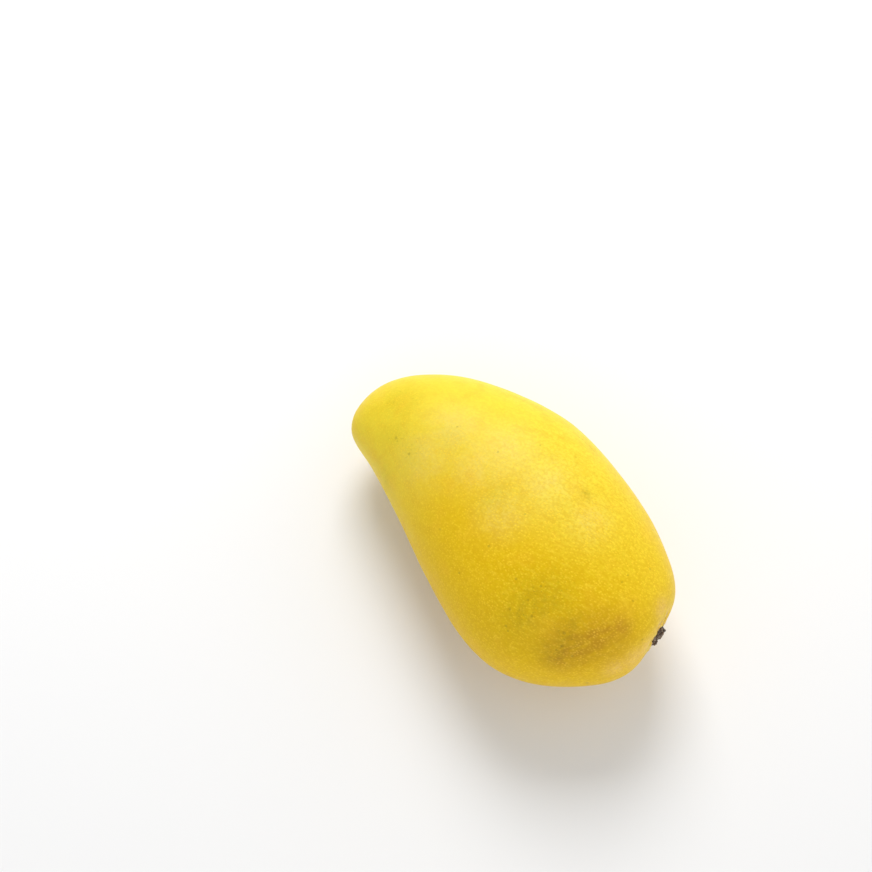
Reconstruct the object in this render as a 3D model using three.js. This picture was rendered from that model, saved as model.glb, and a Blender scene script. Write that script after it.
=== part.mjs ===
import * as THREE from 'three';

// A ripe yellow mango lying on its cheek, with the dried stub of its stem in the stem end.
// Millimetres, +Z up. +X points to the stem end and -X to the tip. +Y is the rounder back edge and
// -Y the belly edge, which dips in near the tip. The origin is on the surface that the fruit rests
// on, under the middle of its box.

// Driving dimensions of the fruit. A list holds one value for each station between tip and stem
// end. The stations stand at equal angles of the half turn from tip to stem end, so they come
// closer together towards both ends.
const LENGTH = 124;
const CENTRE_OFFSETS = [0, 2, 5.7, 5.6, 2, -3.1, -2.6, -0.2, 1.3];
const CENTRE_HEIGHTS = [0, 0, 0, 0, -0.3, -1, -1.3];
const HALF_WIDTHS = [12.3, 20.5, 28.6, 35.6, 36.5, 29, 18];
const HALF_THICKNESSES = [15, 24.5, 28.5, 27.5, 19];
const TIP_RADII = { width: 22, thickness: 20 };
const STEM_END_RADII = { width: 52, thickness: 36 };

// Which way the sections face, as angles from +X at the tip, in the middle and at the stem end: how
// far they lean towards the back edge, and how far they nod down
const SECTION_LEANS = [0, 0, THREE.MathUtils.degToRad(9)];
const SECTION_NODS = [0, 0, THREE.MathUtils.degToRad(4)];

// How the sections depart from plain ovals, as shares of their radius
const CHEEK_FULLNESS = 0.02;
const LONG_SWELL = 0.006;
const SHORT_SWELL = 0.004;

// The shallow pit round the stem, and the socket that the stub stands in
const PIT_DEPTH = 0.9;
const PIT_RADIUS = 8.5;
const SOCKET_RADIUS = 4.2;
const SOCKET_DEPTH = 1.4;
const SOCKET_FLOOR_SHARE = 0.9;

// The stub: a dried crust that stands a little proud of its socket. A notch across it parts the
// thicker lump on the back edge's side from a thinner one. Places on its top are shares of the
// socket's radius, from -1 on the belly edge's side to 1.
const STUB_GAP = 0.3;
const STUB_HEIGHT = 1.5;
const STUB_SLOPE = 0.2;
const STUB_SHOULDER_SHARE = 0.88;
const STUB_SHOULDER_LEVEL = 0.5;
const STUB_TOP_SHARES = [0.66, 0.42, 0.2];
const STUB_UNEVENNESS = 0.12;
const STUB_NOTCH = { place: -0.25, width: 0.15, depth: 0.6 };

// How the fruit lies, and how much of its underside the flat spot takes
const REST_PITCH = THREE.MathUtils.degToRad(-4);
const REST_ROLL = THREE.MathUtils.degToRad(2);
const FLAT_SPOT_DEPTH = 0.4;

// Facets
const SKIN_SECTIONS = 48;
const SKIN_POINTS_ROUND = 68;
const STUB_POINTS_ROUND = 28;

const HALF_TURN = Math.PI;
const FULL_TURN = 2 * Math.PI;

// A smooth line through values at equal angles from tip to stem end, level at both of its ends
function smoothLine(values) {
  const last = values.length - 1;
  const isEnd = (index) => index === 0 || index === last;
  const waveHeights = values.map((unused, wave) => {
    const sum = values.reduce((total, value, index) => {
      const share = isEnd(index) ? 0.5 : 1;
      return total + share * value * Math.cos((HALF_TURN * index * wave) / last);
    }, 0);
    return (isEnd(wave) ? sum : 2 * sum) / last;
  });
  return (along) =>
    waveHeights.reduce((total, height, wave) => total + height * Math.cos(wave * along), 0);
}

// Half the size across the fruit from tip to stem end. Both ends close with the given radius of
// curvature.
function halfSizeLine(halfSizes, tipRadius, stemEndRadius) {
  const spans = halfSizes.length + 1;
  const roundness = (radius) => Math.sqrt((radius * LENGTH) / 2);
  const inner = halfSizes.map((size, index) => size / Math.sin((HALF_TURN * (index + 1)) / spans));
  const line = smoothLine([roundness(tipRadius), ...inner, roundness(stemEndRadius)]);
  return (along) => line(along) * Math.sin(along);
}

const centreOffsetAt = smoothLine(CENTRE_OFFSETS);
const centreHeightAt = smoothLine(CENTRE_HEIGHTS);
const leanAt = smoothLine(SECTION_LEANS);
const nodAt = smoothLine(SECTION_NODS);
const halfWidthAt = halfSizeLine(HALF_WIDTHS, TIP_RADII.width, STEM_END_RADII.width);
const halfThicknessAt = halfSizeLine(
  HALF_THICKNESSES,
  TIP_RADII.thickness,
  STEM_END_RADII.thickness,
);

// The radius of a section as a share of the plain oval's: fuller cheeks and soft uneven swells
function swellAt(along, round) {
  const cheeks = CHEEK_FULLNESS * Math.sin(2 * round) ** 2;
  const longSwell = LONG_SWELL * Math.cos(3 * round + 2 * along);
  const shortSwell = SHORT_SWELL * Math.cos(5 * round - 3 * along + 1);
  return 1 + cheeks + (longSwell + shortSwell) * Math.sin(along) ** 2;
}

// The directions of a section: the way it faces, across it to the back edge, and up through it
function sectionAxes(along) {
  const turn = new THREE.Euler(0, nodAt(along), leanAt(along), 'ZYX');
  return {
    facing: new THREE.Vector3(1, 0, 0).applyEuler(turn),
    across: new THREE.Vector3(0, 1, 0).applyEuler(turn),
    up: new THREE.Vector3(0, 0, 1).applyEuler(turn),
  };
}

// A point of the skin, with the fruit level. Along runs from 0 at the tip to a half turn at the
// stem end. Round starts at the back edge and passes over the upper cheek.
function skinPoint(along, round) {
  const swell = swellAt(along, round);
  const across = halfWidthAt(along) * Math.cos(round) * swell;
  const up = halfThicknessAt(along) * Math.sin(round) * swell;
  const fromStem = along > HALF_TURN / 2 ? Math.hypot(across, up) / PIT_RADIUS : Infinity;
  const pit = PIT_DEPTH * Math.exp(-(fromStem ** 2));
  const axes = sectionAxes(along);
  return new THREE.Vector3((-LENGTH / 2) * Math.cos(along), centreOffsetAt(along), centreHeightAt(along))
    .addScaledVector(axes.across, across)
    .addScaledVector(axes.up, up)
    .addScaledVector(axes.facing, -pit);
}

// The way the stem points, and the middle of its pit
const stemDirection = sectionAxes(HALF_TURN).facing;
const stemFoot = skinPoint(HALF_TURN, 0);

// Where along the fruit the rim of the socket lies
const stemEndRoundness = Math.sqrt((STEM_END_RADII.width * LENGTH) / 2);
const socketRim = HALF_TURN - Math.asin(SOCKET_RADIUS / stemEndRoundness);

function ringOf(count, pointAt) {
  return Array.from({ length: count }, (unused, index) => pointAt((FULL_TURN * index) / count));
}

// A point of the socket's rim moved along the stem, and towards the stem's middle line
function socketPoint(round, height, share) {
  const point = skinPoint(socketRim, round);
  return point.sub(stemFoot).multiplyScalar(share).add(stemFoot).addScaledVector(stemDirection, height);
}

// One closed body from rings of points and the two points that close its ends
function closedBody(firstPoint, rings, lastPoint) {
  const count = rings[0].length;
  const points = [firstPoint, ...rings.flat(), lastPoint];
  const ringStart = (ring) => 1 + ring * count;
  const lastStart = ringStart(rings.length - 1);
  const faces = [];
  for (let index = 0; index < count; index += 1) {
    const next = (index + 1) % count;
    faces.push(0, ringStart(0) + next, ringStart(0) + index);
    for (let ring = 0; ring < rings.length - 1; ring += 1) {
      const here = ringStart(ring);
      const beyond = ringStart(ring + 1);
      faces.push(here + index, here + next, beyond + next);
      faces.push(here + index, beyond + next, beyond + index);
    }
    faces.push(points.length - 1, lastStart + index, lastStart + next);
  }
  return { points, faces };
}

function fruitBody() {
  const skinRings = Array.from({ length: SKIN_SECTIONS }, (unused, index) => {
    const along = (socketRim * (index + 1)) / SKIN_SECTIONS;
    return ringOf(SKIN_POINTS_ROUND, (round) => skinPoint(along, round));
  });
  const floorRing = ringOf(SKIN_POINTS_ROUND, (round) =>
    socketPoint(round, -SOCKET_DEPTH, SOCKET_FLOOR_SHARE),
  );
  const floorMiddle = stemFoot.clone().addScaledVector(stemDirection, -SOCKET_DEPTH);
  return closedBody(skinPoint(0, 0), [...skinRings, floorRing], floorMiddle);
}

// The height of the stub's top at a place across it
function stubTopAt(place) {
  const notch = STUB_NOTCH.depth * Math.exp(-(((place - STUB_NOTCH.place) / STUB_NOTCH.width) ** 2));
  return STUB_HEIGHT + STUB_SLOPE * place - notch;
}

// The stub fills its socket but for the gap, and its outline is uneven
function stubBody() {
  const narrowRadius = SOCKET_RADIUS * Math.sqrt(STEM_END_RADII.thickness / STEM_END_RADII.width);
  const rimShare = 1 - STUB_GAP / narrowRadius;
  const unevenAt = (round) => 1 - (STUB_UNEVENNESS * (1 + Math.cos(3 * round + 1))) / 2;
  const ringAt = (share, heightAt) =>
    ringOf(STUB_POINTS_ROUND, (round) => socketPoint(round, heightAt(round), share * unevenAt(round)));
  const topRingAt = (share, level) => ringAt(share, (round) => level * stubTopAt(share * Math.cos(round)));
  const footHeight = STUB_GAP - SOCKET_DEPTH;
  const rings = [
    ringAt(rimShare * SOCKET_FLOOR_SHARE, () => footHeight),
    ringAt(rimShare, () => 0),
    topRingAt(STUB_SHOULDER_SHARE, STUB_SHOULDER_LEVEL),
    ...STUB_TOP_SHARES.map((share) => topRingAt(share, 1)),
  ];
  const footMiddle = stemFoot.clone().addScaledVector(stemDirection, footHeight);
  const topMiddle = stemFoot.clone().addScaledVector(stemDirection, stubTopAt(0));
  return closedBody(footMiddle, rings, topMiddle);
}

// Turns a body to the way the fruit lies, lowers it to the surface and flattens what would sink
// into it
const lyingTurn = new THREE.Euler(REST_ROLL, REST_PITCH, 0, 'YXZ');

function layDown(body, surfaceHeight) {
  body.points.forEach((point) => {
    point.z = Math.max(point.z - surfaceHeight, 0);
  });
}

function turnToRest(body) {
  body.points.forEach((point) => point.applyEuler(lyingTurn));
  return body;
}

function meshOf(name, body, material) {
  const geometry = new THREE.BufferGeometry();
  geometry.setAttribute('position', new THREE.Float32BufferAttribute(body.points.flatMap((p) => [...p]), 3));
  geometry.setIndex(body.faces);
  geometry.computeVertexNormals();
  const mesh = new THREE.Mesh(geometry, material);
  mesh.name = name;
  return mesh;
}

function skinMaterial() {
  return new THREE.MeshStandardMaterial({ color: 0xe9c42f, roughness: 0.42, metalness: 0 });
}

function stemMaterial() {
  return new THREE.MeshStandardMaterial({ color: 0x3a2c20, roughness: 0.9, metalness: 0 });
}

function buildMango() {
  const fruit = turnToRest(fruitBody());
  const stub = turnToRest(stubBody());
  const lowest = Math.min(...fruit.points.map((point) => point.z));
  [fruit, stub].forEach((body) => layDown(body, lowest + FLAT_SPOT_DEPTH));

  const mango = new THREE.Group();
  mango.add(meshOf('fruit', fruit, skinMaterial()));
  mango.add(meshOf('stem_stub', stub, stemMaterial()));

  const middle = new THREE.Box3().setFromObject(mango).getCenter(new THREE.Vector3());
  mango.position.set(-middle.x, -middle.y, 0);
  return mango;
}

const group = new THREE.Group();
group.add(buildMango());

export default group;
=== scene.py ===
import math
from functools import reduce

import bpy
import numpy as np
from mathutils import Matrix, Vector, noise
from mathutils.bvhtree import BVHTree


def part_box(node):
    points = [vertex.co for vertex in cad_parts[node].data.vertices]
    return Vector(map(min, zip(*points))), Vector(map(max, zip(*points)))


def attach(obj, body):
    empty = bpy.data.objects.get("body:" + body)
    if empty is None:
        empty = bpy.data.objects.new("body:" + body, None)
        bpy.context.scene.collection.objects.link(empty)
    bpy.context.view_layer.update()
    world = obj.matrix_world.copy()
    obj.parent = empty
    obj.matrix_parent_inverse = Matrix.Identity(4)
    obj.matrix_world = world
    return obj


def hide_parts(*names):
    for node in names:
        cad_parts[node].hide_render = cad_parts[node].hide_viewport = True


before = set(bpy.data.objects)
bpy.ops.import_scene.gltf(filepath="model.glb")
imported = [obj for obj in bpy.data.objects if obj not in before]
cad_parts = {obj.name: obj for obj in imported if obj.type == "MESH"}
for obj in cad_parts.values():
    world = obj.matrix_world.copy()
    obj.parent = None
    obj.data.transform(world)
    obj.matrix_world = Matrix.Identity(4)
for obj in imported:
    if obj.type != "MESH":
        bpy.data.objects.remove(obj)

# The looks of a ripe yellow mango that lies on its cheek: a fine skin with pores, marks and a
# puckered stem end, and the dried crust of the stem. Metres, +Z up, +X to the stem end, +Y to the
# rounder back edge. Shapes are worked out in millimetres first, level and centred, as the CAD
# model does, and then tilted to the way the fruit lies and moved to its place.

MM = 0.001
HALF_TURN = math.pi
FULL_TURN = 2 * math.pi
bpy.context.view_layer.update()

# The fruit's driving dimensions, the same as the CAD model's, in millimetres
LENGTH = 124
CENTRE_OFFSETS = (0, 2, 5.7, 5.6, 2, -3.1, -2.6, -0.2, 1.3)
CENTRE_HEIGHTS = (0, 0, 0, 0, -0.3, -1, -1.3)
HALF_WIDTHS = (12.3, 20.5, 28.6, 35.6, 36.5, 29, 18)
HALF_THICKNESSES = (15, 24.5, 28.5, 27.5, 19)
TIP_WIDTH_RADIUS, TIP_THICKNESS_RADIUS = 22, 20
STEM_END_WIDTH_RADIUS, STEM_END_THICKNESS_RADIUS = 52, 36
STEM_LEAN, STEM_NOD = math.radians(9), math.radians(4)
CHEEK_FULLNESS = 0.02
LONG_SWELL, LONG_SWELL_ROUND, LONG_SWELL_ALONG = 0.006, 3, 2
SHORT_SWELL, SHORT_SWELL_ROUND, SHORT_SWELL_ALONG, SHORT_SWELL_START = 0.004, 5, -3, 1
PIT_DEPTH, PIT_RADIUS = 0.9, 8.5
SOCKET_RADIUS, SOCKET_DEPTH, SOCKET_FLOOR_SHARE = 4.2, 1.4, 0.9
STUB_GAP, STUB_HEIGHT, STUB_SLOPE = 0.3, 1.5, 0.2
STUB_UNEVENNESS, STUB_LOBES, STUB_LOBES_START = 0.12, 3, 1
STUB_SHOULDER_SHARE, STUB_SHOULDER_LEVEL, STUB_TOP_SHARE = 0.88, 0.5, 0.66
NOTCH_PLACE, NOTCH_WIDTH, NOTCH_DEPTH = -0.25, 0.15, 0.6
REST_PITCH, REST_ROLL = math.radians(-4), math.radians(2)
FLAT_SPOT_DEPTH = 0.4

# The crust of the stub is smaller than the CAD's by the shrinkage. Its crumbs start at one height
# over the stem's foot and are full at the other. Its side is rounded through two more levels.
CRUST_SHRINKAGE = 0.5
CRUMBS_START, CRUMBS_FULL = -0.2, 0.5
STUB_RIM_LEVEL = 0.25
STUB_EDGE_SHARE, STUB_EDGE_LEVEL = 0.8, 0.85
STUB_MIDDLE_SHARE = 0.02

# The socket's side: how deep each ring of it lies, and how wide it is as a share of the rim
SOCKET_RINGS = ((0.12, 0.985), (0.4, 0.955), (0.8, 0.93), (1.2, 0.91), (SOCKET_DEPTH, 0.8))

# Fine relief, in millimetres. A layer of noise is given by its height, size and seed.
NOISE_SEED_SPACING = 37.7
SKIN_NOISE = ((0.16, 16, 1), (0.07, 7, 2), (0.014, 1.5, 4))
CRUMB_NOISE = ((0.3, 1.3, 5), (0.24, 0.65, 6), (0.08, 0.32, 7))
DENT_SEED, DENT_COUNT = 11, 46
DENT_WIDTHS, DENT_DEPTHS = (2.5, 7), (0.03, 0.09)
TIP_SCAR_PLACE = (0, -6, 1)
TIP_KNOB_HEIGHT, TIP_KNOB_WIDTH = 0.25, 1.3
TIP_HOLLOW_DEPTH, TIP_HOLLOW_WIDTH = 0.3, 3.2

# Relief round the stem: a collar and torn crumbs at the socket's rim, in a shallow hollow, and
# folds that run out from it. A place is how far outside the rim its middle lies.
COLLAR_HEIGHT, COLLAR_PLACE, COLLAR_WIDTH = 0.3, 1, 0.8
COLLAR_UNEVENNESS, COLLAR_NOISE_SIZE, COLLAR_NOISE_SEED = 0.8, 2.2, 3
TORN_HEIGHT, TORN_PLACE, TORN_WIDTH = 0.35, 0.3, 0.7
TORN_SIZE, TORN_SEED = 0.9, 9
STEM_HOLLOW_DEPTH, STEM_HOLLOW_WIDTH = 0.35, 5
FOLD_HEIGHT, FOLD_PLACE, FOLD_REACH = 0.22, 2, 3.8
FOLD_DENSITY, FOLD_DRIFT, FOLD_CONTRAST, FOLD_SEED = 4.5, 0.1, 2.2, 8
SPOKE_SOFTENING = 0.1

# How fine the meshes are. The crowding draws the skin's rings together at the stem end.
SKIN_RINGS, SKIN_POINTS_ROUND = 246, 380
STEM_END_CROWDING = 0.15
STUB_POINTS_ROUND = 150
STUB_SIDE_STEPS, STUB_TOP_STEPS = 6, 22

# The camera: where it looks from, its distance to the fruit, and how far its axis passes beside
# the fruit's centre of mass, so that the fruit has the photograph's place in the frame
IMAGE_SIZE = 872
CAMERA_AZIMUTH, CAMERA_ELEVATION = math.radians(41.1), math.radians(70)
CAMERA_DISTANCE = 0.8
CAMERA_RIGHT, CAMERA_UP = -26.8 * MM, 29.5 * MM
CAMERA_FOCAL_PIXELS = 2503
CAMERA_SENSOR, CAMERA_NEAR = 36, 0.01
CENTRE_OF_MASS = Vector((4.5, 1.7, 28.4)) * MM

# The brightness of the white room at the height of the floor and overhead, and how much brighter
# it is in the direction of +X, and darker in that of -X
WORLD_SIDES, WORLD_TOP, WORLD_SLANT = 1.3, 0.35, 0.3

# The softbox: its place from the fruit along the camera's right, up and backward directions and
# its size, in metres, and its power in watts
SOFTBOX_PLACE, SOFTBOX_SIZE, SOFTBOX_POWER = (-0.05, 0.95, 0.5), 0.55, 8

# The floor: half its side in metres, how light its grey is, and how rough
FLOOR_HALF_SIDE, FLOOR_SHADE, FLOOR_ROUGHNESS = 14.0, 0.89, 0.6


# Shape of the fruit

def smooth_line(values):
    """A smooth line through values at equal angles from tip to stem end, level at both ends."""
    last = len(values) - 1
    stations = np.arange(last + 1)
    shares = np.where((stations == 0) | (stations == last), 0.5, 1.0)
    waves = np.cos(HALF_TURN * np.outer(stations, stations) / last) @ (shares * np.array(values))
    heights = waves * shares * 2 / last
    return lambda along: np.cos(np.multiply.outer(along, stations)) @ heights


def half_size_line(half_sizes, tip_radius, stem_end_radius):
    """Half the size across the fruit, closed at both ends with the given radii of curvature."""
    spans = len(half_sizes) + 1
    inner = [size / math.sin(HALF_TURN * (i + 1) / spans) for i, size in enumerate(half_sizes)]
    ends = [math.sqrt(radius * LENGTH / 2) for radius in (tip_radius, stem_end_radius)]
    line = smooth_line([ends[0], *inner, ends[1]])
    return lambda along: line(along) * np.sin(along)


half_width_at = half_size_line(HALF_WIDTHS, TIP_WIDTH_RADIUS, STEM_END_WIDTH_RADIUS)
half_thickness_at = half_size_line(
    HALF_THICKNESSES, TIP_THICKNESS_RADIUS, STEM_END_THICKNESS_RADIUS)
centre_offset_at = smooth_line(CENTRE_OFFSETS)
centre_height_at = smooth_line(CENTRE_HEIGHTS)
lean_at = smooth_line((0, 0, STEM_LEAN))
nod_at = smooth_line((0, 0, STEM_NOD))
stem_end_roundness = math.sqrt(STEM_END_WIDTH_RADIUS * LENGTH / 2)
socket_rim = HALF_TURN - math.asin(SOCKET_RADIUS / stem_end_roundness)


def swell_at(along, around):
    """The radius of a section as a share of the plain oval's."""
    cheeks = CHEEK_FULLNESS * np.sin(2 * around) ** 2
    long_swell = LONG_SWELL * np.cos(LONG_SWELL_ROUND * around + LONG_SWELL_ALONG * along)
    short_swell = SHORT_SWELL * np.cos(
        SHORT_SWELL_ROUND * around + SHORT_SWELL_ALONG * along + SHORT_SWELL_START)
    return 1 + cheeks + (long_swell + short_swell) * np.sin(along) ** 2


def directions(x, y, z):
    return np.stack(np.broadcast_arrays(x, y, z), axis=-1)


def section_axes(along):
    """The directions of a section: the way it faces, across it to the back edge, and up it."""
    lean, nod = lean_at(along), nod_at(along)
    facing = directions(np.cos(lean) * np.cos(nod), np.sin(lean) * np.cos(nod), -np.sin(nod))
    across = directions(-np.sin(lean), np.cos(lean), 0.0)
    up = directions(np.cos(lean) * np.sin(nod), np.sin(lean) * np.sin(nod), np.cos(nod))
    return facing, across, up


def skin_points(along, around):
    """Points of the skin of the level fruit. Along runs from the tip, 0, to the stem end, and
    around from the back edge over the upper cheek."""
    swell = swell_at(along, around)
    across = half_width_at(along) * np.cos(around) * swell
    up = half_thickness_at(along) * np.sin(around) * swell
    pit = PIT_DEPTH * np.exp(-(np.hypot(across, up) / PIT_RADIUS) ** 2) * (along > HALF_TURN / 2)
    facing_axis, across_axis, up_axis = section_axes(along)
    centre = directions(
        -LENGTH / 2 * np.cos(along), centre_offset_at(along), centre_height_at(along))
    return (centre + across_axis * across[..., None] + up_axis * up[..., None]
            - facing_axis * pit[..., None])


skin_tip = skin_points(np.array(0.0), np.array(0.0))
stem_foot = skin_points(np.array(HALF_TURN), np.array(0.0))
stem_direction = section_axes(np.array(HALF_TURN))[0]


def socket_points(around, height, share):
    """Points of the socket's rim moved along the stem, and towards the stem's middle line."""
    rim = skin_points(np.full_like(around, socket_rim), around)
    return (rim - stem_foot) * np.asarray(share)[..., None] + stem_foot + (
        np.asarray(height)[..., None] * stem_direction)


def ring_mesh(name, first, rings, last):
    """A closed mesh from rings of points and the two points that close its ends."""
    ring_count, count = rings.shape[:2]
    points = np.concatenate((first[None], rings.reshape(-1, 3), last[None]))
    start = 1 + np.arange(ring_count)[:, None] * count
    here = start + np.arange(count)
    beyond_here = start + (np.arange(count) + 1) % count
    quads = np.stack((here[:-1], beyond_here[:-1], beyond_here[1:], here[1:]), axis=-1)
    end = len(points) - 1
    first_fan = [(0, int(b), int(a)) for a, b in zip(here[0], beyond_here[0])]
    last_fan = [(end, int(a), int(b)) for a, b in zip(here[-1], beyond_here[-1])]
    mesh = bpy.data.meshes.new(name)
    faces = quads.reshape(-1, 4).tolist() + first_fan + last_fan
    mesh.from_pydata(points.tolist(), [], faces)
    mesh.polygons.foreach_set("use_smooth", np.ones(len(mesh.polygons), dtype=bool))
    mesh.update()
    return mesh


def laying_down():
    """The turn from the level fruit to the way it lies, and the shift to the CAD's place."""
    turn = np.array(Matrix.Rotation(REST_PITCH, 3, "Y") @ Matrix.Rotation(REST_ROLL, 3, "X"))
    along, around = np.meshgrid(
        np.linspace(0, socket_rim, SKIN_RINGS), np.linspace(0, FULL_TURN, SKIN_POINTS_ROUND),
        indexing="ij")
    plain = skin_points(along, around).reshape(-1, 3) @ turn.T
    low, high = plain.min(axis=0), plain.max(axis=0)
    cad_low, cad_high = (np.array(corner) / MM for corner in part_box("fruit"))
    shift = (cad_low + cad_high - low - high) / 2
    shift[2] = -(low[2] + FLAT_SPOT_DEPTH)
    return turn, shift


rest_turn, rest_shift = laying_down()


def lay_down(points):
    """Points of the level fruit in their place in the scene, in metres and none under the floor."""
    laid = points @ rest_turn.T + rest_shift
    laid[..., 2] = np.maximum(laid[..., 2], 0)
    return laid * MM


# Fine relief of the skin

def noise_at(points, size, seed):
    """Smooth noise from about -1 to 1 whose features are about size millimetres across."""
    offset = NOISE_SEED_SPACING * seed
    flat = (points.reshape(-1, 3) / size + offset).tolist()
    return np.array([noise.noise(p) for p in flat]).reshape(points.shape[:-1])


def noise_layers(points, layers):
    """The sum of layers of noise, each given by its height, size and seed."""
    return sum(height * noise_at(points, size, seed) for height, size, seed in layers)


def bell(distance, width):
    """1 at no distance, falling smoothly to 0 at about twice the width."""
    return np.exp(-(distance / width) ** 2)


def dents_at(points, random):
    """Shallow dents from handling, scattered over the skin."""
    depth = np.zeros(points.shape[:-1])
    flat = points.reshape(-1, 3)
    for centre in flat[random.integers(0, len(flat), DENT_COUNT)]:
        width = random.uniform(*DENT_WIDTHS)
        distance = np.linalg.norm(points - centre, axis=-1)
        depth += random.uniform(*DENT_DEPTHS) * bell(distance, width)
    return depth


def rim_distance(points, around):
    """How far points lie outside the socket's rim, in millimetres."""
    rim = skin_points(np.full_like(around, socket_rim), around)
    rim_radius = np.linalg.norm(rim - stem_foot, axis=-1)
    return np.linalg.norm(points - stem_foot, axis=-1) - rim_radius


def stem_folds(points):
    """Uneven folds that run out from the stem, from about -1 in a crease to 1 on a ridge."""
    away = points - stem_foot
    spokes = away / (np.linalg.norm(away, axis=-1, keepdims=True) + SPOKE_SOFTENING)
    folds = noise_at(FOLD_DENSITY * spokes + FOLD_DRIFT * away, 1, FOLD_SEED)
    return np.clip(FOLD_CONTRAST * folds, -1, 1)


def stem_relief(points, around):
    """The puckered skin round the stem: a torn collar at the socket and folds that run from it."""
    distance = rim_distance(points, around)
    uneven = 1 + COLLAR_UNEVENNESS * noise_at(points, COLLAR_NOISE_SIZE, COLLAR_NOISE_SEED)
    collar = COLLAR_HEIGHT * uneven * bell(distance - COLLAR_PLACE, COLLAR_WIDTH)
    crumbs = TORN_HEIGHT * noise_at(points, TORN_SIZE, TORN_SEED)
    torn = crumbs * bell(distance - TORN_PLACE, TORN_WIDTH)
    folds = FOLD_HEIGHT * stem_folds(points) * bell(distance - FOLD_PLACE, FOLD_REACH)
    hollow = STEM_HOLLOW_DEPTH * bell(distance, STEM_HOLLOW_WIDTH)
    return collar + torn + folds - hollow


def skin_relief(points, around, random):
    """How far each point of the skin stands out of the smooth form, in millimetres."""
    scar_distance = np.linalg.norm(points - skin_tip - np.array(TIP_SCAR_PLACE), axis=-1)
    knob = TIP_KNOB_HEIGHT * bell(scar_distance, TIP_KNOB_WIDTH)
    tip_scar = knob - TIP_HOLLOW_DEPTH * bell(scar_distance, TIP_HOLLOW_WIDTH)
    relief = noise_layers(points, SKIN_NOISE) + tip_scar + stem_relief(points, around)
    return relief - dents_at(points, random)


def outward_normals(points):
    """The directions straight out of a surface, given by its rings of points."""
    along_step = np.gradient(points, axis=0)
    around_step = np.roll(points, -1, axis=1) - np.roll(points, 1, axis=1)
    normals = np.cross(around_step, along_step)
    return normals / np.linalg.norm(normals, axis=-1, keepdims=True)


def ring_angles():
    """Angles along the fruit, closer together at the stem end where the relief is finest."""
    share = np.linspace(0, 1, SKIN_RINGS + 1)[1:]
    return socket_rim * (share + STEM_END_CROWDING * share * np.sin(HALF_TURN * share))


def build_skin():
    """The skin's mesh, its points on the level fruit, and their distances outside the rim."""
    random = np.random.default_rng(DENT_SEED)
    around_line = np.linspace(0, FULL_TURN, SKIN_POINTS_ROUND, endpoint=False)
    along, around = np.meshgrid(ring_angles(), around_line, indexing="ij")
    plain = skin_points(along, around)
    relief = skin_relief(plain, around, random)
    skin = plain + outward_normals(plain) * relief[..., None]

    # The socket: the skin's edge rolls in and drops to the socket's floor
    socket = [(skin[-1] - stem_foot) * share + stem_foot - depth * stem_direction
              for depth, share in SOCKET_RINGS]
    rings = np.concatenate((skin, np.stack(socket)))
    floor_middle = stem_foot - SOCKET_DEPTH * stem_direction
    tip = skin_tip - np.array((relief[0].mean(), 0, 0))
    mesh = ring_mesh("mango_skin", lay_down(tip), lay_down(rings), lay_down(floor_middle))
    level_points = np.concatenate((tip[None], rings.reshape(-1, 3), floor_middle[None]))
    from_rim = rim_distance(rings, np.broadcast_to(around_line, rings.shape[:2])).ravel()
    return mesh, level_points, np.concatenate(([LENGTH], from_rim, [-SOCKET_RADIUS]))


def add_piece(name, mesh, node):
    piece = bpy.data.objects.new(name, mesh)
    bpy.context.scene.collection.objects.link(piece)
    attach(piece, "root")
    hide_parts(node)


# The dried stub of the stem

def stub_top_at(place):
    """The height of the crust's top at a place across it, from -1 on the belly edge's side to 1."""
    notch = NOTCH_DEPTH * bell(place - NOTCH_PLACE, NOTCH_WIDTH)
    return STUB_HEIGHT + STUB_SLOPE * place - notch


def stub_rings(around):
    """Rings of the plain crust, from its foot in the socket over its top to the middle."""
    narrow_radius = SOCKET_RADIUS * math.sqrt(STEM_END_THICKNESS_RADIUS / STEM_END_WIDTH_RADIUS)
    rim_share = 1 - STUB_GAP / narrow_radius
    foot = STUB_GAP - SOCKET_DEPTH
    lobes = (1 + np.cos(STUB_LOBES * around + STUB_LOBES_START)) / 2
    uneven = 1 - STUB_UNEVENNESS * lobes
    levels = ((rim_share, STUB_RIM_LEVEL), (STUB_SHOULDER_SHARE, STUB_SHOULDER_LEVEL),
              (STUB_EDGE_SHARE, STUB_EDGE_LEVEL), (STUB_TOP_SHARE, 1), (STUB_MIDDLE_SHARE, 1))
    corners = [(rim_share * SOCKET_FLOOR_SHARE, np.full_like(around, foot)),
               (rim_share, np.zeros_like(around))]
    corners += [(share, level * stub_top_at(share * np.cos(around))) for share, level in levels]
    rings = []
    for (share, height), (next_share, next_height) in zip(corners, corners[1:]):
        on_top = next_share == STUB_MIDDLE_SHARE
        steps = STUB_TOP_STEPS if on_top else STUB_SIDE_STEPS
        for step in np.arange(steps) / steps:
            mid_share = share + (next_share - share) * step
            mid_height = height + (next_height - height) * step
            if on_top:
                mid_height = stub_top_at(mid_share * np.cos(around))
            rings.append(socket_points(around, mid_height, mid_share * uneven))
    return np.stack(rings)


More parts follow.
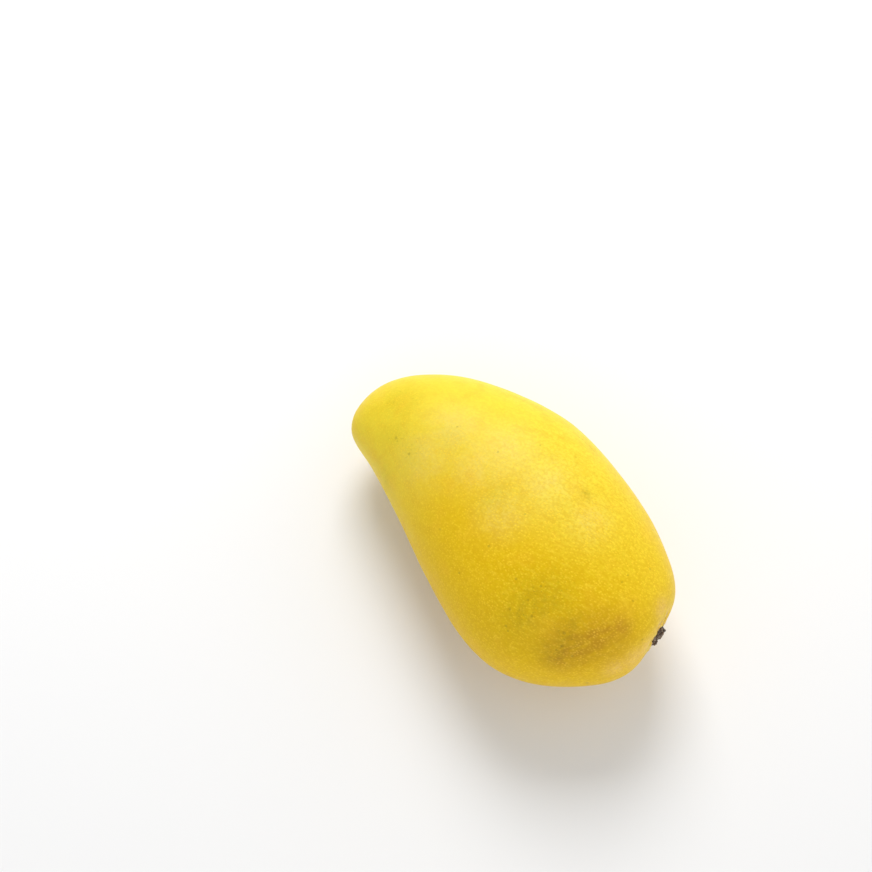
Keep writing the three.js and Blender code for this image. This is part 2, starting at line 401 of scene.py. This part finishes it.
def build_stub():
    """A crust with a broken, crumbly top and a notch across it."""
    around = np.linspace(0, FULL_TURN, STUB_POINTS_ROUND, endpoint=False)
    rings = stub_rings(around)
    crumbs = noise_layers(rings, CRUMB_NOISE) - CRUST_SHRINKAGE
    height = (rings - stem_foot) @ stem_direction
    proud = np.clip((height - CRUMBS_START) / (CRUMBS_FULL - CRUMBS_START), 0, 1)
    rings = rings + outward_normals(rings) * (crumbs * proud)[..., None]
    foot = stem_foot + (STUB_GAP - SOCKET_DEPTH) * stem_direction
    top = rings[-1].mean(axis=0)
    return ring_mesh("stem_crust", lay_down(foot), lay_down(rings), lay_down(top))


# Marks of the skin that the photograph shows, each by its pixel in the photograph and its half
# width in millimetres

BRUISE_SPOTS = (
    ((559, 660), 5.5), ((567, 652), 7), ((580, 646), 8.5), ((594, 640), 8.5), ((608, 634), 7.5),
    ((619, 628), 5),
)
OLIVE_SPOTS = (
    ((554, 652), 5.5), ((563, 638), 5), ((571, 624), 4.5), ((540, 600), 8), ((524, 615), 6),
    ((586, 495), 2),
)
GREEN_SPOTS = (
    ((402, 399), 7), ((396, 438), 6), ((409, 454), 7), ((385, 478), 6), ((530, 606), 11),
    ((555, 592), 8), ((493, 500), 5), ((452, 436), 5),
)
# The pale spots are waxy bloom on the upper cheek and partly a painted sheen
PALE_BLOOM_AND_SHEEN_SPOTS = (
    ((425, 458), 10), ((450, 430), 10), ((478, 465), 10), ((508, 448), 10), ((500, 512), 8),
    ((550, 482), 9), ((590, 520), 7),
)
# Peach spots at the edge by the stem: waxy bloom and partly a painted reflection
PEACH_WAX_AND_REFLECTION_SPOTS = (((662, 608), 3.5), ((645, 648), 4.5), ((634, 658), 5), ((617, 668), 4.5))
SPECKS = (
    ((396, 438), 0.5), ((409, 454), 0.45), ((380, 477), 0.35), ((489, 546), 0.4),
    ((459, 573), 0.35), ((510, 609), 0.45), ((506, 626), 0.4), ((508, 631), 0.3),
    ((650, 569), 0.35), ((622, 582), 0.3), ((633, 601), 0.35), ((628, 575), 0.3),
    ((516, 579), 0.4), ((541, 586), 0.4), ((528, 600), 0.35), ((572, 656), 0.45),
    ((564, 633), 0.5), ((562, 646), 0.5), ((587, 683), 0.5), ((532, 616), 0.4),
)

# The pixels that the scratch runs through, and the directions that streaks and rows of pores take
SCRATCH = ((577, 436), (583, 440), (589, 445.5), (594, 451))
BRUISE_STREAKS = (0.37, 0.92, 0.16)
PORE_ROWS = (0.94, 0.3, -0.14)


def camera_axes():
    """The camera's right, up and backward directions."""
    azimuth, elevation = CAMERA_AZIMUTH, CAMERA_ELEVATION
    back = Vector((
        math.sin(azimuth) * math.cos(elevation), -math.cos(azimuth) * math.cos(elevation),
        math.sin(elevation)))
    right = Vector((math.cos(azimuth), math.sin(azimuth), 0))
    return right, back.cross(right), back


def camera_place():
    right, up, back = camera_axes()
    return CENTRE_OF_MASS + back * CAMERA_DISTANCE + right * CAMERA_RIGHT + up * CAMERA_UP


def surface_finder(mesh):
    """A function that gives the point of the mesh seen at a pixel of the photograph."""
    tree = BVHTree.FromPolygons([v.co for v in mesh.vertices], [p.vertices for p in mesh.polygons])
    right, up, back = camera_axes()

    def seen_at(pixel):
        sideways = (pixel[0] - IMAGE_SIZE / 2) / CAMERA_FOCAL_PIXELS
        upwards = (IMAGE_SIZE / 2 - pixel[1]) / CAMERA_FOCAL_PIXELS
        ray = right * sideways + up * upwards - back
        return tree.ray_cast(camera_place(), ray.normalized())[0]

    return seen_at


def spots_mask(points, seen_at, spots):
    """Soft spots on the skin, 1 at the middle of each."""
    mask = np.zeros(len(points))
    for pixel, width in spots:
        distance = np.linalg.norm(points - np.array(seen_at(pixel)), axis=-1) / MM
        mask = np.maximum(mask, bell(distance, width))
    return mask


def store(mesh, name, values):
    attribute = mesh.attributes.new(name, "FLOAT", "POINT")
    attribute.data.foreach_set("value", np.asarray(values, dtype=np.float32))


def mark_skin(mesh, level_points, from_rim, seen_at):
    """Stores where the skin's colours change, for the skin's material."""
    points = np.array([v.co for v in mesh.vertices])
    store(mesh, "along", (level_points[:, 0] + LENGTH / 2) / LENGTH)
    store(mesh, "back", level_points[:, 1] / max(HALF_WIDTHS))
    store(mesh, "below", -level_points[:, 2] / max(HALF_THICKNESSES))
    store(mesh, "from_rim", from_rim)
    store(mesh, "folds", stem_folds(level_points))
    spot_lists = {"bruise": BRUISE_SPOTS, "olive": OLIVE_SPOTS, "green": GREEN_SPOTS,
                  "pale": PALE_BLOOM_AND_SHEEN_SPOTS, "peach": PEACH_WAX_AND_REFLECTION_SPOTS}
    for name, spots in spot_lists.items():
        store(mesh, name, spots_mask(points, seen_at, spots))


# Materials

def linear(red, green, blue):
    """A screen colour from 0 to 255 as the linear colour that the shader takes."""
    def channel(value):
        share = value / 255
        return share / 12.92 if share <= 0.04045 else ((share + 0.055) / 1.055) ** 2.4
    return (channel(red), channel(green), channel(blue), 1)


class Shading:
    """Adds shader nodes to a new material and joins them."""

    # The sockets of a Mix node that mixes colours: the share, the two colours and the result
    MIX_SHARE, MIX_FIRST, MIX_SECOND, MIX_RESULT = 0, 6, 7, 2

    def __init__(self, name, base_colour):
        self.material = bpy.data.materials.new(name)
        self.material.use_nodes = True
        self.tree = self.material.node_tree
        self.shader = self.tree.nodes["Principled BSDF"]
        coordinates = self.add("ShaderNodeTexCoord").outputs["Object"]
        self.place = self.vector("SCALE", coordinates, Scale=1 / MM)
        self.colour = base_colour

    def add(self, kind, inputs=(), **settings):
        node = self.tree.nodes.new(kind)
        for key, value in settings.items():
            setattr(node, key, value)
        for key, value in dict(inputs).items():
            self.feed(node.inputs[key], value)
        return node

    def feed(self, socket, value):
        if isinstance(value, bpy.types.NodeSocket):
            self.tree.links.new(value, socket)
        else:
            socket.default_value = value

    def vector(self, operation, *values, **named):
        inputs = {i: v for i, v in enumerate(values)}
        inputs.update(named)
        node = self.add("ShaderNodeVectorMath", inputs, operation=operation)
        gives_number = operation in ("DISTANCE", "DOT_PRODUCT")
        return node.outputs["Value" if gives_number else "Vector"]

    def math(self, operation, *values):
        """The operation on the first two values, then on its result and the next, and so on."""
        def pair(first, second):
            inputs = {0: first, 1: second}
            return self.add("ShaderNodeMath", inputs, operation=operation).outputs[0]
        return reduce(pair, values)

    def attribute(self, name):
        return self.add("ShaderNodeAttribute", attribute_name=name).outputs["Fac"]

    def steps(self, value, low, high, low_out=0.0, high_out=1.0):
        """Goes smoothly from low_out to high_out as value goes from low to high."""
        inputs = {"Value": value, "From Min": low, "From Max": high,
                  "To Min": low_out, "To Max": high_out}
        return self.add("ShaderNodeMapRange", inputs, interpolation_type="SMOOTHSTEP").outputs[0]

    def noise(self, size, detail, roughness=0.5, place=None):
        inputs = {"Vector": place or self.place, "Scale": 1 / size, "Detail": detail,
                  "Roughness": roughness}
        return self.add("ShaderNodeTexNoise", inputs).outputs["Fac"]

    def cells(self, size, place, randomness=1.0):
        """The distance to the nearest of many scattered points, and that point's own number."""
        inputs = {"Vector": place, "Scale": 1 / size, "Randomness": randomness}
        node = self.add("ShaderNodeTexVoronoi", inputs)
        own = self.add("ShaderNodeSeparateColor", {"Color": node.outputs["Color"]})
        return node.outputs["Distance"], own.outputs["Red"]

    def paint(self, colour, *shares):
        """Lays a colour over what is painted so far, as thickly as the shares' product says."""
        node = self.add("ShaderNodeMix", data_type="RGBA")
        self.feed(node.inputs[self.MIX_SHARE], self.math("MULTIPLY", *shares))
        self.feed(node.inputs[self.MIX_FIRST], self.colour)
        self.feed(node.inputs[self.MIX_SECOND], colour)
        self.colour = node.outputs[self.MIX_RESULT]

    def plus_some(self, value, more, share):
        """The value plus a share of another."""
        return self.math("ADD", value, self.math("MULTIPLY", more, share))

    def bump(self, height, strength, distance):
        inputs = {"Strength": strength, "Distance": distance, "Height": height}
        normal = self.add("ShaderNodeBump", inputs).outputs["Normal"]
        self.feed(self.shader.inputs["Normal"], normal)

    def stretched(self, direction, times):
        """The place squeezed along a direction, so that what is drawn on it is longer that way."""
        along = self.vector("DOT_PRODUCT", self.place, direction)
        back = self.vector("SCALE", direction, Scale=self.math("MULTIPLY", along, 1 / times - 1))
        return self.vector("ADD", self.place, back)

    def wobbled(self, size, reach):
        """The place moved about by noise, so that what is drawn on it has uneven edges."""
        inputs = {"Vector": self.place, "Scale": 1 / size, "Detail": 2.0}
        colour = self.add("ShaderNodeTexNoise", inputs).outputs["Color"]
        centred = self.vector("SUBTRACT", colour, (0.5, 0.5, 0.5))
        return self.vector("ADD", self.place, self.vector("SCALE", centred, Scale=2 * reach))

    def line(self, place, start, end, width):
        """1 on the straight line from start to end, falling to 0 at the width from it."""
        start, reach = Vector(start), Vector(end) - Vector(start)
        away = self.vector("SUBTRACT", place, tuple(start))
        share = self.vector("DOT_PRODUCT", away, tuple(reach / reach.length_squared))
        share = self.math("MINIMUM", self.math("MAXIMUM", share, 0.0), 1.0)
        nearest = self.vector("SCALE", tuple(reach), Scale=share)
        return self.steps(self.vector("DISTANCE", away, nearest), width, 0.0)


# The skin's colours, as a screen shows them
LEMON, GOLDEN, DEEP_GOLD = linear(232, 211, 56), linear(226, 186, 4), linear(214, 168, 4)
TIP_YELLOW, GREEN, BLOOM_AND_SHEEN = linear(226, 202, 42), linear(196, 178, 26), linear(242, 222, 132)
CLOUD, PEACH_WAX_AND_REFLECTION, RIDGE_GREEN = linear(236, 186, 44), linear(238, 196, 112), linear(204, 188, 60)
PORE, LIGHT_THREAD, BRUISE_PORE = linear(252, 220, 56), linear(248, 216, 60), linear(244, 202, 66)
BRUISE, OLIVE, FRECKLE = linear(176, 122, 28), linear(150, 128, 26), linear(126, 110, 20)
SPECK, SCRATCH_BROWN, STAIN = linear(132, 108, 20), linear(150, 112, 20), linear(150, 96, 26)
CORK_CRUMB, CORK = linear(226, 202, 160), linear(84, 56, 34)

# How the skin's colours lie. A size is in millimetres. A fade holds the two values between which
# something comes in, and then how much there is of it at the first and at the second, where that
# isn't none and all. A share is how much of a colour shows where it is full.
PATCH_SIZE, MOTTLE_SIZE, GRAIN_SIZE = 22, 5, 0.9
BELLY_FADE, BELLY_PATCHES, BELLY_ALONG_FADE = (0.7, -0.15), 0.5, (0.1, 0.5, 0.2, 0.95)
MOTTLE_FADE, MOTTLE_SHARE = (0.45, 0.75), 0.3
STEM_HALF_FADE, STEM_HALF_SHARE = (0.5, 0.95), 0.7
SHADED_UNDERSIDE_FADE, SHADED_UNDERSIDE_PATCHES, SHADED_UNDERSIDE_SHARE = (0.3, 1.0), 0.6, 0.8
TIP_FADE, TIP_PATCHES, TIP_SHARE = (0.42, 0.1), 0.25, 0.5
GREEN_SHARE = 0.33
BLOOM_AND_SHEEN_FADE = (0.3, 0.6, 0.2, 0.33)
CLOUD_SIZE, CLOUD_FADE, CLOUD_SHARE = 9, (0.5, 0.72), 0.3
RIM_MOTTLE, RIM_FOLDS = 8, 1.5
PALE_RING_FADE, PEACH_WAX_AND_REFLECTION_SHARE = (12, 3), 0.6
RIDGE_FADE, RIDGE_RING_FADE, RIDGE_SHARE = (0.0, 0.6), (12, 6), 0.4
PORE_SIZE, PORE_STRETCH, PORE_SCATTER = 0.64, 1.5, 0.9
PORE_FADE, PORE_OWN_FADE = (0.55, 0.12), (0.0, 1.0, 0.4, 1.0)
PORE_ALONG_FADE, PORE_MOTTLE = (0.4, 1.2, 0.35, 0.6), 0.8
THREAD_SIZE, THREAD_STRETCH = 1.0, 4
DARK_THREAD_FADE, DARK_GRAIN_FADE = (0.45, 0.7), (0.4, 0.65)
DARK_ALONG_FADE = (0.15, 0.75, 0.15, 0.43)
LIGHT_THREAD_FADE, LIGHT_ALONG_FADE = (0.45, 0.3), (0.2, 0.8, 0.1, 0.25)
BRUISE_SIZE, BRUISE_FADE, BRUISE_SHARE, BRUISE_PORE_SHARE = 5, (0.2, 0.6, 0.65), 0.7, 0.7
STREAK_SIZE, STREAK_STRETCH, STREAK_FADE = 1.6, 5, (0.3, 0.65, 0.6)
OLIVE_SIZE, OLIVE_FADE, OLIVE_SHARE = 2.2, (0.3, 0.7, 0.2), 0.32
FRECKLE_SIZE, FRECKLE_FADE, FRECKLE_SHARE, FRECKLES_IN_GREEN = 0.7, (0.6, 0.74), 0.4, 0.6
WOBBLE_SIZE, WOBBLE_REACH = 0.45, 0.3
SPECK_OUTER_EDGE, SPECK_INNER_EDGE, SPECK_SHARE = 1.7, 0.2, 0.4
SCATTER_SIZE, SCATTER_FADE, SCATTER_LEFT_OUT, SCATTER_SHARE = 8.5, (0.065, 0.03), 0.55, 0.8
SCRATCH_WIDTH, SCRATCH_FADE = 0.45, (0.3, 0.6, 0.1, 0.35)
STAIN_RING_FADE, STAIN_SIZE, STAIN_FADE = (9, 4), 1.6, (0.4, 0.62)
CREASE_FADE, STAIN_SHARE = (0.5, -0.5), 0.75
FRAY_SIZE, FRAY_REACH, FRAY_FADE = 1.1, 3, (2.9, 2.3)
CORK_CRUMB_SIZE, CORK_CRUMB_FADE, CORK_CRUMB_SHARE = 0.5, (0.38, 0.55), 0.75
CORK_GRAIN, CORK_FADE, CORK_SHARE = 1.2, (1.0, 0.5), 0.9

# The skin's gloss, fine bumps and the light that goes into it
SKIN_ROUGHNESS, ROUGHNESS_SIZE, ROUGHNESS_RANGE = 0.33, 3, 0.2
BRUISE_ROUGHNESS, CORK_ROUGHNESS = 0.08, 0.3
PORE_BUMP, PEBBLE_BUMP, PEBBLE_BUMP_SIZE, SPECK_DIP = 0.5, 0.7, 0.6, 0.8
SKIN_BUMP_STRENGTH, SKIN_BUMP_DISTANCE = 0.5, 0.00006
SKIN_SETTINGS = {
    "Specular IOR Level": 0.12, "Subsurface Weight": 0.2, "Subsurface Radius": (1.0, 0.8, 0.3),
    "Subsurface Scale": 0.0015,
}


class SkinShading(Shading):
    """Paints the skin's colours in layers, from its ground colour up to its small marks."""

    def __init__(self, seen_at):
        super().__init__("mango_skin", LEMON)
        self.seen_at = seen_at
        self.along = self.attribute("along")
        self.folds = self.attribute("folds")
        self.from_rim = self.attribute("from_rim")
        self.patches = self.noise(PATCH_SIZE, detail=3)
        self.mottle = self.noise(MOTTLE_SIZE, detail=3)
        self.grain = self.noise(GRAIN_SIZE, detail=2)
        # The distance from the socket's rim, made uneven by the mottling and the folds
        mottled = self.plus_some(self.from_rim, self.mottle, RIM_MOTTLE)
        self.ragged = self.plus_some(mottled, self.folds, RIM_FOLDS)

    def paint_ground(self):
        """Lemon yellow to golden, in broad soft patches, deeper on the belly side and deeper below
        as painted shade.
        """
        back, below = self.attribute("back"), self.attribute("below")
        belly = self.steps(self.plus_some(back, self.patches, BELLY_PATCHES), *BELLY_FADE)
        self.paint(GOLDEN, belly, self.steps(self.along, *BELLY_ALONG_FADE))
        self.paint(DEEP_GOLD, self.steps(self.mottle, *MOTTLE_FADE), MOTTLE_SHARE)
        self.paint(GOLDEN, self.steps(self.along, *STEM_HALF_FADE), STEM_HALF_SHARE)
        # Painted shade: the underside, turned to the floor, is painted deeper gold
        shaded_underside = self.plus_some(below, self.patches, SHADED_UNDERSIDE_PATCHES)
        self.paint(DEEP_GOLD, self.steps(shaded_underside, *SHADED_UNDERSIDE_FADE), SHADED_UNDERSIDE_SHARE)

        # A greener cast near the tip and in a few soft spots
        tip = self.plus_some(self.along, self.patches, TIP_PATCHES)
        self.paint(TIP_YELLOW, self.steps(tip, *TIP_FADE), TIP_SHARE)
        self.paint(GREEN, self.attribute("green"), GREEN_SHARE)

        # The pale waxy bloom on the upper cheek, partly a painted sheen, and faint clouds where the
        # skin is ripest
        self.paint(BLOOM_AND_SHEEN, self.attribute("pale"), self.steps(self.mottle, *BLOOM_AND_SHEEN_FADE))
        clouds = self.steps(self.noise(CLOUD_SIZE, detail=3), *CLOUD_FADE)
        self.paint(CLOUD, clouds, CLOUD_SHARE)

    def paint_stem_ring(self):
        """Pale peach waxy skin round the stem and at the edge beside it, partly a painted
        reflection, and greener ridges.
        """
        ring = self.steps(self.ragged, *PALE_RING_FADE)
        self.paint(PEACH_WAX_AND_REFLECTION, self.math("MAXIMUM", ring, self.attribute("peach")), PEACH_WAX_AND_REFLECTION_SHARE)
        ridges = self.steps(self.folds, *RIDGE_FADE)
        self.paint(RIDGE_GREEN, ridges, self.steps(self.ragged, *RIDGE_RING_FADE), RIDGE_SHARE)

    def paint_pores(self):
        """Pale pores, dense and in faint rows, on a ground of darker and lighter threads."""
        rows = self.stretched(PORE_ROWS, PORE_STRETCH)
        distance, own = self.cells(PORE_SIZE, rows, PORE_SCATTER)
        pore = self.math(
            "MULTIPLY", self.steps(distance, *PORE_FADE), self.steps(own, *PORE_OWN_FADE))
        threads = self.noise(
            THREAD_SIZE, detail=3, place=self.stretched(PORE_ROWS, THREAD_STRETCH))
        dark = self.math("MAXIMUM", self.steps(threads, *DARK_THREAD_FADE),
                         self.steps(self.grain, *DARK_GRAIN_FADE))
        self.paint(DEEP_GOLD, dark, self.steps(self.along, *DARK_ALONG_FADE))
        light = self.steps(threads, *LIGHT_THREAD_FADE)
        self.paint(LIGHT_THREAD, light, self.steps(self.along, *LIGHT_ALONG_FADE))
        strength = self.plus_some(self.along, self.mottle, PORE_MOTTLE)
        self.paint(PORE, pore, self.steps(strength, *PORE_ALONG_FADE))
        return pore

    def paint_bruise(self, pore):
        """The bruise, drawn out in streaks, with bright pores in it."""
        streaks = self.noise(
            STREAK_SIZE, detail=4, place=self.stretched(BRUISE_STREAKS, STREAK_STRETCH))
        blotches = self.steps(self.noise(BRUISE_SIZE, detail=4), *BRUISE_FADE)
        bruise = self.math(
            "MULTIPLY", self.attribute("bruise"), blotches, self.steps(streaks, *STREAK_FADE))
        self.paint(BRUISE, bruise, BRUISE_SHARE)
        self.paint(BRUISE_PORE, bruise, pore, BRUISE_PORE_SHARE)
        return bruise

    def paint_olive(self):
        """Olive shadows under the skin, with small darker freckles."""
        olive, green = self.attribute("olive"), self.attribute("green")
        clouds = self.steps(self.noise(OLIVE_SIZE, detail=4), *OLIVE_FADE)
        self.paint(OLIVE, olive, clouds, OLIVE_SHARE)
        near = self.math("MAXIMUM", olive, self.math("MULTIPLY", green, FRECKLES_IN_GREEN))
        freckles = self.steps(self.noise(FRECKLE_SIZE, detail=2), *FRECKLE_FADE)
        self.paint(FRECKLE, freckles, near, FRECKLE_SHARE)

    def paint_specks(self):
        """Brown specks, both those in the photograph and scattered ones, and the scratch."""
        wobbled = self.wobbled(WOBBLE_SIZE, WOBBLE_REACH)
        seen = []
        for pixel, width in SPECKS:
            distance = self.vector("DISTANCE", wobbled, tuple(self.seen_at(pixel) / MM))
            seen.append(self.steps(distance, width * SPECK_OUTER_EDGE, width * SPECK_INNER_EDGE))
        distance, own = self.cells(SCATTER_SIZE, wobbled)
        scattered = self.math("MULTIPLY", self.steps(distance, *SCATTER_FADE),
                              self.math("GREATER_THAN", own, SCATTER_LEFT_OUT), SCATTER_SHARE)
        specks = self.math("MAXIMUM", *seen, scattered)
        self.paint(SPECK, specks, SPECK_SHARE)

        ends = [tuple(self.seen_at(pixel) / MM) for pixel in SCRATCH]
        scratch = self.math("MAXIMUM", *(
            self.line(wobbled, *pair, SCRATCH_WIDTH) for pair in zip(ends, ends[1:])))
        self.paint(SCRATCH_BROWN, scratch, self.steps(self.grain, *SCRATCH_FADE))
        return specks

    def paint_socket_edge(self):
        """Brown stains in the creases round the stem, crumbs of cork, and the dark socket."""
        stain = self.math("MULTIPLY", self.steps(self.ragged, *STAIN_RING_FADE),
                          self.steps(self.noise(STAIN_SIZE, detail=3), *STAIN_FADE))
        self.paint(STAIN, stain, self.steps(self.folds, *CREASE_FADE), STAIN_SHARE)
        frayed = self.plus_some(self.from_rim, self.noise(FRAY_SIZE, detail=3), FRAY_REACH)
        crumbs = self.steps(self.noise(CORK_CRUMB_SIZE, detail=2), *CORK_CRUMB_FADE)
        self.paint(CORK_CRUMB, self.steps(frayed, *FRAY_FADE), crumbs, CORK_CRUMB_SHARE)
        cork = self.steps(self.plus_some(self.from_rim, self.grain, CORK_GRAIN), *CORK_FADE)
        self.paint(CORK, cork, CORK_SHARE)
        return cork


def skin_material(seen_at):
    s = SkinShading(seen_at)
    s.paint_ground()
    s.paint_stem_ring()
    pore = s.paint_pores()
    bruise = s.paint_bruise(pore)
    s.paint_olive()
    specks = s.paint_specks()
    cork = s.paint_socket_edge()
    s.feed(s.shader.inputs["Base Color"], s.colour)

    rough = s.plus_some(SKIN_ROUGHNESS, s.noise(ROUGHNESS_SIZE, detail=4), ROUGHNESS_RANGE)
    rough = s.plus_some(rough, bruise, BRUISE_ROUGHNESS)
    rough = s.plus_some(rough, cork, CORK_ROUGHNESS)
    s.feed(s.shader.inputs["Roughness"], rough)

    pebbles = s.noise(PEBBLE_BUMP_SIZE, detail=3)
    height = s.plus_some(s.math("MULTIPLY", pore, PORE_BUMP), pebbles, PEBBLE_BUMP)
    height = s.plus_some(height, specks, -SPECK_DIP)
    s.bump(height, SKIN_BUMP_STRENGTH, SKIN_BUMP_DISTANCE)

    s.shader.subsurface_method = "RANDOM_WALK"
    for name, value in SKIN_SETTINGS.items():
        s.shader.inputs[name].default_value = value
    return s.material


# The crust: black, brown, grey patches and grain of weathering and painted highlights, tan crumbs
CRUST_BLACK, CRUST_BROWN = linear(22, 16, 13), linear(92, 66, 46)
CRUST_WEATHERED_AND_HIGHLIGHT, CRUST_GREY_AND_HIGHLIGHT, CRUST_TAN = (
    linear(158, 138, 116), linear(168, 156, 142), linear(176, 140, 92))
CRUST_COARSE_SIZE, CRUST_COARSE_ROUGHNESS, CRUST_BROWN_FADE = 0.9, 0.6, (0.4, 0.6)
CRUST_FINE_SIZE, CRUST_FINE_ROUGHNESS = 0.3, 0.65
CRUST_GREY_AND_HIGHLIGHT_FADE, CRUST_GREY_AND_HIGHLIGHT_SHARE = (0.5, 0.68), 0.75
WEATHERED_AND_HIGHLIGHT_SIZE, WEATHERED_AND_HIGHLIGHT_FADE, WEATHERED_AND_HIGHLIGHT_SHARE = 1.2, (0.5, 0.6), 0.8
CRUST_CRUMB_SIZE, CRUST_CRUMB_FADE, CRUST_CRUMB_SHARE = 0.5, (0.6, 0.7), 0.7
CRUST_GLOSS_FADE = (0.2, 0.8, 0.5, 0.9)
CRUST_FINE_BUMP, CRUST_BUMP_STRENGTH, CRUST_BUMP_DISTANCE = 0.8, 0.9, 0.0003


def crust_material():
    s = Shading("stem_crust", CRUST_BLACK)
    coarse = s.noise(CRUST_COARSE_SIZE, detail=4, roughness=CRUST_COARSE_ROUGHNESS)
    fine = s.noise(CRUST_FINE_SIZE, detail=4, roughness=CRUST_FINE_ROUGHNESS)
    s.paint(CRUST_BROWN, s.steps(coarse, *CRUST_BROWN_FADE))
    # The grey patches and the grey grain are partly weathering and partly painted highlights
    weathered_and_highlight = s.steps(s.noise(WEATHERED_AND_HIGHLIGHT_SIZE, detail=2), *WEATHERED_AND_HIGHLIGHT_FADE)
    s.paint(CRUST_WEATHERED_AND_HIGHLIGHT, weathered_and_highlight, WEATHERED_AND_HIGHLIGHT_SHARE)
    s.paint(CRUST_GREY_AND_HIGHLIGHT, s.steps(fine, *CRUST_GREY_AND_HIGHLIGHT_FADE), CRUST_GREY_AND_HIGHLIGHT_SHARE)
    crumbs = s.steps(s.noise(CRUST_CRUMB_SIZE, detail=3), *CRUST_CRUMB_FADE)
    s.paint(CRUST_TAN, crumbs, CRUST_CRUMB_SHARE)
    s.feed(s.shader.inputs["Base Color"], s.colour)
    s.feed(s.shader.inputs["Roughness"], s.steps(coarse, *CRUST_GLOSS_FADE))
    height = s.plus_some(coarse, fine, CRUST_FINE_BUMP)
    s.bump(height, CRUST_BUMP_STRENGTH, CRUST_BUMP_DISTANCE)
    return s.material


# Floor, light and camera

def floor_material():
    material = bpy.data.materials.new("floor")
    material.use_nodes = True
    shader = material.node_tree.nodes["Principled BSDF"]
    shader.inputs["Base Color"].default_value = (FLOOR_SHADE, FLOOR_SHADE, FLOOR_SHADE, 1)
    shader.inputs["Roughness"].default_value = FLOOR_ROUGHNESS
    return material


def build_floor():
    side = FLOOR_HALF_SIDE
    mesh = bpy.data.meshes.new("floor")
    corners = [(-side, -side, 0), (side, -side, 0), (side, side, 0), (-side, side, 0)]
    mesh.from_pydata(corners, [], [(0, 1, 2, 3)])
    mesh.materials.append(floor_material())
    floor = bpy.data.objects.new("floor", mesh)
    bpy.context.scene.collection.objects.link(floor)


def build_camera():
    right, up, back = camera_axes()
    data = bpy.data.cameras.new("camera")
    data.sensor_width = CAMERA_SENSOR
    data.lens = CAMERA_FOCAL_PIXELS * CAMERA_SENSOR / IMAGE_SIZE
    data.clip_start = CAMERA_NEAR
    camera = bpy.data.objects.new("camera", data)
    turn = Matrix((right, up, back)).transposed().to_4x4()
    camera.matrix_world = Matrix.Translation(camera_place()) @ turn
    bpy.context.scene.collection.objects.link(camera)
    bpy.context.scene.camera = camera


def build_room():
    """A white room that is brightest near the floor and on the side of +X."""
    world = bpy.data.worlds.new("studio")
    world.use_nodes = True
    background = world.node_tree.nodes["Background"]
    background.inputs["Color"].default_value = (1, 1, 1, 1)
    nodes, links = world.node_tree.nodes, world.node_tree.links
    direction = nodes.new("ShaderNodeTexCoord").outputs["Generated"]
    parts = nodes.new("ShaderNodeSeparateXYZ")
    fade = nodes.new("ShaderNodeMapRange")
    fade.inputs["To Min"].default_value = WORLD_SIDES
    fade.inputs["To Max"].default_value = WORLD_TOP
    slant = nodes.new("ShaderNodeMath")
    slant.operation = "MULTIPLY_ADD"
    slant.inputs[1].default_value = WORLD_SLANT
    links.new(direction, parts.inputs[0])
    links.new(parts.outputs["Z"], fade.inputs["Value"])
    links.new(parts.outputs["X"], slant.inputs[0])
    links.new(fade.outputs[0], slant.inputs[2])
    links.new(slant.outputs[0], background.inputs["Strength"])
    bpy.context.scene.world = world


def build_softbox():
    """A square light that faces the fruit."""
    data = bpy.data.lights.new("key", "AREA")
    data.shape = "SQUARE"
    data.size = SOFTBOX_SIZE
    data.energy = SOFTBOX_POWER
    light = bpy.data.objects.new("key", data)
    away = sum((axis * reach for axis, reach in zip(camera_axes(), SOFTBOX_PLACE)), Vector())
    light.location = CENTRE_OF_MASS + away
    light.rotation_euler = (-away).to_track_quat("-Z", "Y").to_euler()
    bpy.context.scene.collection.objects.link(light)


build_camera()
build_room()
build_softbox()
build_floor()

skin_mesh, level_skin_points, rim_distances = build_skin()
seen_in_photo = surface_finder(skin_mesh)
mark_skin(skin_mesh, level_skin_points, rim_distances, seen_in_photo)
skin_mesh.materials.append(skin_material(seen_in_photo))
add_piece("mango_skin", skin_mesh, "fruit")

stub_mesh = build_stub()
stub_mesh.materials.append(crust_material())
add_piece("stem_crust", stub_mesh, "stem_stub")

bpy.context.scene.view_settings.view_transform = "Standard"
bpy.context.scene.view_settings.look = "None"
